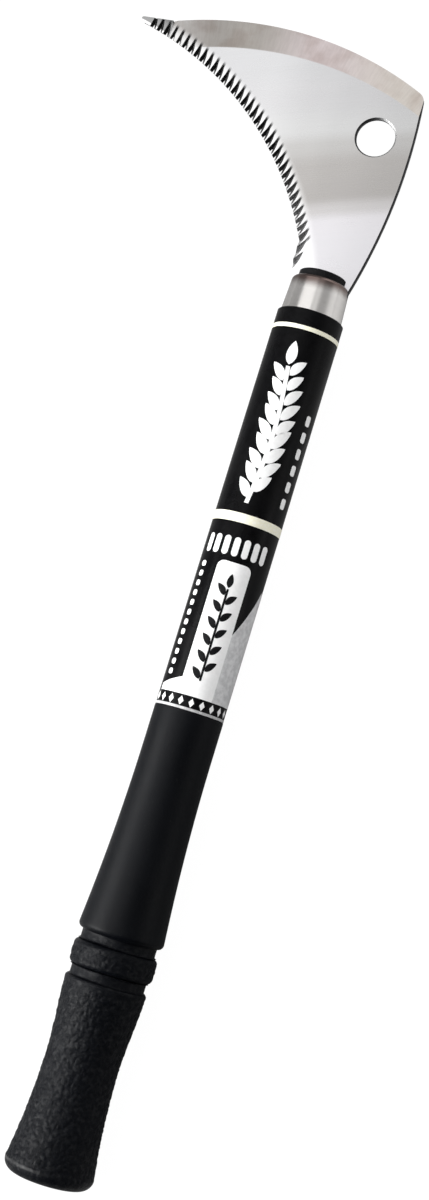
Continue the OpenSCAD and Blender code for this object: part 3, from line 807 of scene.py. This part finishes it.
def layPrint(name, shapes, material, lift):
    # cuts the shapes into narrow strips, so that they bend round the sleeve, and adds the ink's thickness
    work = bmesh.new()
    for shape in shapes:
        work.faces.new([work.verts.new((x, y, 0.0)) for x, y in shape])
    left = min(v.co.x for v in work.verts)
    right = max(v.co.x for v in work.verts)
    at = left + sleeveForm["slice"]
    while at < right:
        everything = work.verts[:] + work.edges[:] + work.faces[:]
        bmesh.ops.bisect_plane(work, geom=everything, dist=0.0001, plane_co=(at, 0, 0), plane_no=(1, 0, 0))
        at += sleeveForm["slice"]
    bmesh.ops.triangulate(work, faces=work.faces[:])
    flipped = [f for f in work.faces if f.normal.z < 0]
    bmesh.ops.reverse_faces(work, faces=flipped)
    for vertex in work.verts:
        radius = sleeveRadius(vertex.co.y) + lift
        angle = vertex.co.x / sleeveForm["radius"]
        vertex.co = Vector((radius * math.sin(angle), vertex.co.y, radius * math.cos(angle))) * mm
    for face in work.faces:
        face.smooth = True
    for edge in work.edges:
        edge.smooth = not edge.is_boundary
    mesh = bpy.data.meshes.new(name)
    work.to_mesh(mesh)
    work.free()
    piece = addPiece(name, mesh, material)
    ink = piece.modifiers.new("inkThickness", "SOLIDIFY")
    ink.thickness = lift * mm * 1.5   # so that its underside lies in the film
    ink.offset = -1.0


def makeEar(form):
    # a bold ear of grain: paired leaf-shaped grains up a bowed stem, with one at the top
    middle = roundSleeve(form["middle"])
    span = form["top"] - form["bottom"] - form["grainLength"]
    half = form["stemWidth"] / 2

    def stemAt(share):
        return middle + form["bow"] * (math.sin(math.pi * share) - 0.5), form["bottom"] + span * share

    stem = [stemAt(i / form["stemSteps"]) for i in range(form["stemSteps"] + 1)]
    shapes = [[(x - half, y) for x, y in stem] + [(x + half, y) for x, y in stem[::-1]]]
    draw = random.Random(form["seed"])
    for i in range(form["grains"]):
        share = (i + 0.6) / (form["grains"] + 0.4)
        x, y = stemAt(share)
        size = 1.0 - 0.25 * abs(share - 0.35)   # the fullest grains are a third of the way up
        for sideways in (-1, 1):
            start = (x + sideways * (half + 0.15), y + sideways * form["stagger"])
            lean = sideways * (form["lean"] + draw.uniform(-form["leanSpread"], form["leanSpread"]))
            length = form["grainLength"] * size * draw.uniform(*form["sizeSpread"])
            shapes.append(leafShape(start, lean, length, form["grainWidth"] * size,
                -sideways * form["grainBend"]))
    x, y = stemAt(1.0)
    shapes.append(leafShape((x, y + 0.6), 0, form["grainLength"] * 0.95, form["grainWidth"]))
    layPrint("printEar", shapes, "whiteInk", sleeveForm["inkLift"])


def makePanel(form):
    # the tall white panel with the low slope on its left, and the silver corner on its right
    left, right, low = roundSleeve(form["left"]), roundSleeve(form["right"]), form["bottom"]
    panel = roundBox(left, low, right, form["top"], form["round"], (False, False, True, True))
    foot = roundSleeve(form["slopeAngle"])
    slope = [(foot, low), (left, low), (left, form["slopeTop"]), (foot, form["slopeBottom"])]
    layPrint("printPanel", [panel, slope], "whiteInk", sleeveForm["inkLift"])
    end, peak = roundSleeve(form["silverEnd"]), roundSleeve(form["silverPeak"])
    high = form["silverHigh"]
    silver = [(right, low), (end, low), (end, high - form["silverDrop"]), (peak, high),
        (right, form["silverLow"])]
    layPrint("printSilver", [silver], "silverInk", sleeveForm["inkLift"])


def makeMarks(form):
    # pickets under the middle band, two columns of dashes and a row of lozenges at the sleeve's foot
    shapes = []
    low, half = form["picketBottom"], form["picketWidth"] / 2
    for angle in spread(form["picketFrom"], form["picketTo"], form["pickets"]):
        x = roundSleeve(angle)
        top = low + form["picketHeight"]
        shapes.append(roundBox(x - half, low, x + half, top, form["picketWidth"] / 2.01))
    for dash in form["dashes"]:
        x, half, high = roundSleeve(dash["angle"]), dash["width"] / 2, dash["height"] / 2
        for y in spread(dash["from"], dash["to"], dash["count"]):
            shapes.append(roundBox(x - half, y - high, x + half, y + high, dash["round"]))
    y, half, high = form["lozengeAt"], form["lozengeWidth"] / 2, form["lozengeHeight"] / 2
    for angle in spread(form["lozengeFrom"], form["lozengeTo"], form["lozenges"]):
        x = roundSleeve(angle)
        shapes.append([(x - half, y), (x, y - high), (x + half, y), (x, y + high)])
    layPrint("printMarks", shapes, "whiteInk", sleeveForm["inkLift"])


def makePanelSprig(form):
    # a small black sprig inside the white panel
    middle, half = roundSleeve(form["middle"]), form["stemWidth"] / 2
    shapes = [roundBox(middle - half, form["bottom"], middle + half, form["top"], form["stemRound"])]
    for i in range(form["leaves"]):
        y = form["firstLeaf"] + i * form["leafStep"]
        sideways = 1 if i % 2 else -1
        shapes.append(leafShape((middle + sideways * form["leafOut"], y), sideways * form["leafLean"],
            form["leafLength"], form["leafWidth"], -sideways * form["leafBend"]))
    shapes.append(leafShape((middle, form["topLeaf"]), 0, form["leafLength"], form["leafWidth"]))
    layPrint("printSprig", shapes, "blackInk", sleeveForm["inkLift"] + form["lift"])


def makeFilmSeam(form):
    # the overlap where the film closes behind the handle, clear of the bands' channels
    left = roundSleeve(form["middle"]) - form["width"] / 2
    right = roundSleeve(form["middle"]) + form["width"] / 2
    shapes = [[(left, low), (right, low), (right, high), (left, high)] for low, high in form["spans"]]
    layPrint("filmSeam", shapes, "sleeveFilm", form["lift"])


makeEar(earForm)
makePanel(panelForm)
makeMarks(marksForm)
makePanelSprig(sprigForm)
makeFilmSeam(seamForm)
print("print laid on the sleeve")


# Floor, light and camera. Places here are in metres.

floorForm = {
    "size": 8.0, "gap": 0.0002, "colour": 0.06, "fibreScale": 0.4, "roughness": 0.9, "gloss": 0.1,
    "glow": 0.98, "bounce": 0.32, "rightGlow": 0.46,
    "rightFrom": (-5, 30), "rightAbove": (120, 280),   # millimetres: where the glow sets in
}
lights = {
    # the softbox lights the blade, the key the grip's left side, and the strip fills in the grip's front
    "softbox": {"middle": (-0.36, 0.67, 0.79), "aim": (-0.03, 0.37, 0.0), "size": (0.75, 0.75),
        "power": 1.62, "turn": 17.0},
    "key": {"middle": (-0.87, -0.18, 0.53), "aim": (0.0, 0.13, 0.0), "size": (0.7, 0.8),
        "power": 25.0, "turn": -20.0},
    "strip": {"middle": (-0.25, 0.14, 1.17), "aim": (0.0, 0.13, 0.0), "size": (0.6, 0.26),
        "power": 2.8, "turn": 0.0},
}
room = {
    # tones from the far left, 0, to the far right, 1; the other spans are parts of a direction's x and y
    "acrossTones": ((0.0, 0.45), (0.1, 0.35), (0.45, 0.4), (0.62, 0.95), (0.74, 0.42), (0.87, 0.45),
        (0.95, 0.87), (1.0, 1.1)),
    "lowerFade": (-0.02, 0.25), "lowerTone": 0.06,
    "wallFrom": (0.82, 1.0), "wallTop": (0.25, 0.05), "wallTone": 2.5, "wallFoot": (-0.15, -0.02),
    "wallFootTone": 0.2,
    "cornerFrom": (0.1, 0.5), "cornerAbove": (0.5, 0.75), "cornerTone": 2.0,
}
view = {
    # the photograph's view: below the blade and a little to its right
    "turn": 14.0, "tilt": 6.5, "roll": 17.11, "distance": 0.6919, "sideStep": -0.0032, "height": 0.1266,
    "lens": 60.0, "frameHeight": 36.0, "clipStart": 0.01,
}


def makeFloor(form):
    half = form["size"] / 2
    low = min(cadBounds[0][2], cadBounds[1][2]) - form["gap"]
    corners = [(-half, -half, low), (half, -half, low), (half, half, low), (-half, half, low)]
    mesh = bpy.data.meshes.new("floor")
    mesh.from_pydata(corners, [], [(0, 1, 2, 3)])
    floor = bpy.data.objects.new("floor", mesh)
    bpy.context.scene.collection.objects.link(floor)
    # the paper glows for the camera alone, so that its white doesn't light the handle from below
    material, tree, shader = newMaterial("floorPaper", Roughness=form["roughness"],
        Specular_IOR_Level=form["gloss"], Emission_Strength=form["glow"], Emission_Color=shade(1.0))
    place = bodyPlace(tree)
    fibres = cloud(tree, place, form["fibreScale"], 4.0)
    paper = ramp(tree, fibres, [(0.3, form["colour"]), (0.7, form["colour"] + 0.01)])
    tree.links.new(paper, shader.inputs["Base Color"])
    bounce = put(tree, "BsdfDiffuse", {"Color": shade(form["bounce"])})
    x, y, _ = split(tree, place)
    right = times(tree, rise(tree, x, *form["rightFrom"]), rise(tree, y, *form["rightAbove"]))
    glow = put(tree, "Emission", {"Strength": times(tree, right, form["rightGlow"])})
    lit = put(tree, "AddShader", {0: bounce.outputs[0], 1: glow.outputs[0]})
    seen = put(tree, "LightPath").outputs["Is Camera Ray"]
    surface = put(tree, "MixShader", {0: seen, 1: lit.outputs[0], 2: shader.outputs[0]})
    tree.links.new(surface.outputs[0], tree.nodes["Material Output"].inputs["Surface"])
    mesh.materials.append(material)


def stand(name, data, middle, *axes):
    # puts a light or a camera at its place, with its own x, y and z along the three axes
    thing = bpy.data.objects.new(name, data)
    bpy.context.scene.collection.objects.link(thing)
    thing.matrix_world = Matrix.Translation(middle) @ Matrix(axes).transposed().to_4x4()
    return thing


def makeLight(name, form):
    data = bpy.data.lights.new(name, "AREA")
    data.shape = "RECTANGLE"
    data.size, data.size_y = form["size"]
    data.energy = form["power"]
    middle = Vector(form["middle"])
    across = Matrix.Rotation(math.radians(form["turn"]), 3, "Z") @ Vector((1, 0, 0))
    back = -(Vector(form["aim"]) - middle).normalized()
    sideways = (across - back * across.dot(back)).normalized()
    stand(name, data, middle, sideways, back.cross(sideways), back)


def makeWorld(form):
    # a pale room: dark below, with a bright wall on the far right and a brighter corner above it
    world = bpy.data.worlds.new("room")
    bpy.context.scene.world = world
    world.use_nodes = True
    tree = world.node_tree
    x, y, _ = split(tree, put(tree, "TexCoord").outputs["Generated"])
    across = ramp(tree, calc(tree, "MULTIPLY_ADD", x, 0.5, 0.5), form["acrossTones"], "EASE")
    wall = times(tree, rise(tree, x, *form["wallFrom"]),
        rise(tree, y, *form["wallTop"], 1.0, form["wallTone"]),
        rise(tree, y, *form["wallFoot"], form["wallFootTone"], 1.0))
    level = calc(tree, "MAXIMUM", rise(tree, y, *form["lowerFade"], form["lowerTone"], 1.0), wall)
    corner = times(tree, rise(tree, x, *form["cornerFrom"]), rise(tree, y, *form["cornerAbove"]))
    level = times(tree, level, calc(tree, "MULTIPLY_ADD", corner, form["cornerTone"], 1.0))
    level = put(tree, "CombineColor", dict.fromkeys((0, 1, 2), level)).outputs[0]
    tones = blend(tree, 1.0, across, level, "MULTIPLY")
    tree.links.new(tones, tree.nodes["Background"].inputs["Color"])


def makeCamera(form):
    turn, tilt, roll = (math.radians(form[k]) for k in ("turn", "tilt", "roll"))
    across = Vector((math.cos(turn), 0, -math.sin(turn)))
    along = Vector((0, 1, 0))
    away = Vector((math.sin(turn), 0, math.cos(turn)))
    back = math.cos(tilt) * away - math.sin(tilt) * along
    level = math.cos(tilt) * along + math.sin(tilt) * away
    right = math.cos(roll) * across + math.sin(roll) * level
    up = math.cos(roll) * level - math.sin(roll) * across
    data = bpy.data.cameras.new("camera")
    data.lens = form["lens"]
    data.sensor_width = form["frameHeight"]   # Blender measures the picture's longer side
    data.clip_start = form["clipStart"]
    middle = form["sideStep"] * across + form["height"] * along + form["distance"] * away
    bpy.context.scene.camera = stand("camera", data, middle, right, up, back)


makeFloor(floorForm)
for name, form in lights.items():
    makeLight(name, form)
makeWorld(room)
makeCamera(view)
bpy.context.scene.view_settings.view_transform = "Standard"
print("floor, lights and camera placed")
